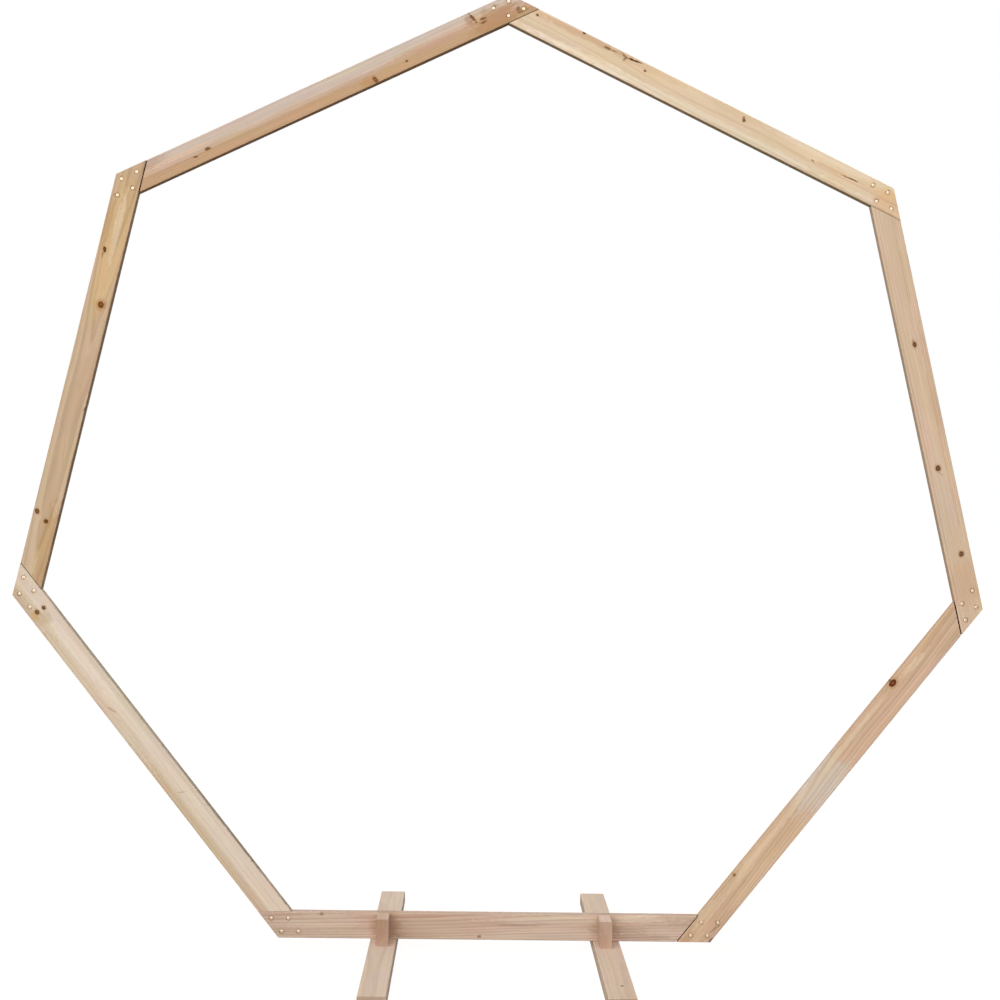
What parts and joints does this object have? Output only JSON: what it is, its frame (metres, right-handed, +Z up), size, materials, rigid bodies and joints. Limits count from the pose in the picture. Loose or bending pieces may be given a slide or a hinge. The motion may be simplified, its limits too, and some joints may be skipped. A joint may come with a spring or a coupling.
{
  "type": "heptagonal wedding arch",
  "caption": "Seven-sided wooden arch frame of half-lapped boards, standing upright on flat feet with upright blocks.",
  "frame": {"origin": "on the floor, under the middle of the arch, half way along the feet", "axes": "+Z up, +X to the right seen from the front, -Y towards the front, where the upright blocks stand"},
  "size_m": [2.2246, 0.88, 2.197],
  "materials": {
    "frame_wood": "planed softwood, bare or with a thin matt sealer",
    "foot_wood": "planed softwood, bare or with a thin matt sealer",
    "block_wood": "planed softwood, a darker offcut",
    "screw_steel": "bright zinc-plated screw heads"
  },
  "bodies": {
    "root": {"bottom_board": "frame_wood", "lower_left_board": "frame_wood", "left_side_board": "frame_wood", "top_left_board": "frame_wood", "top_right_board": "frame_wood", "right_side_board": "frame_wood", "lower_right_board": "frame_wood", "left_foot": "foot_wood", "right_foot": "foot_wood", "left_block": "block_wood", "right_block": "block_wood"}
  },
  "joints": []
}
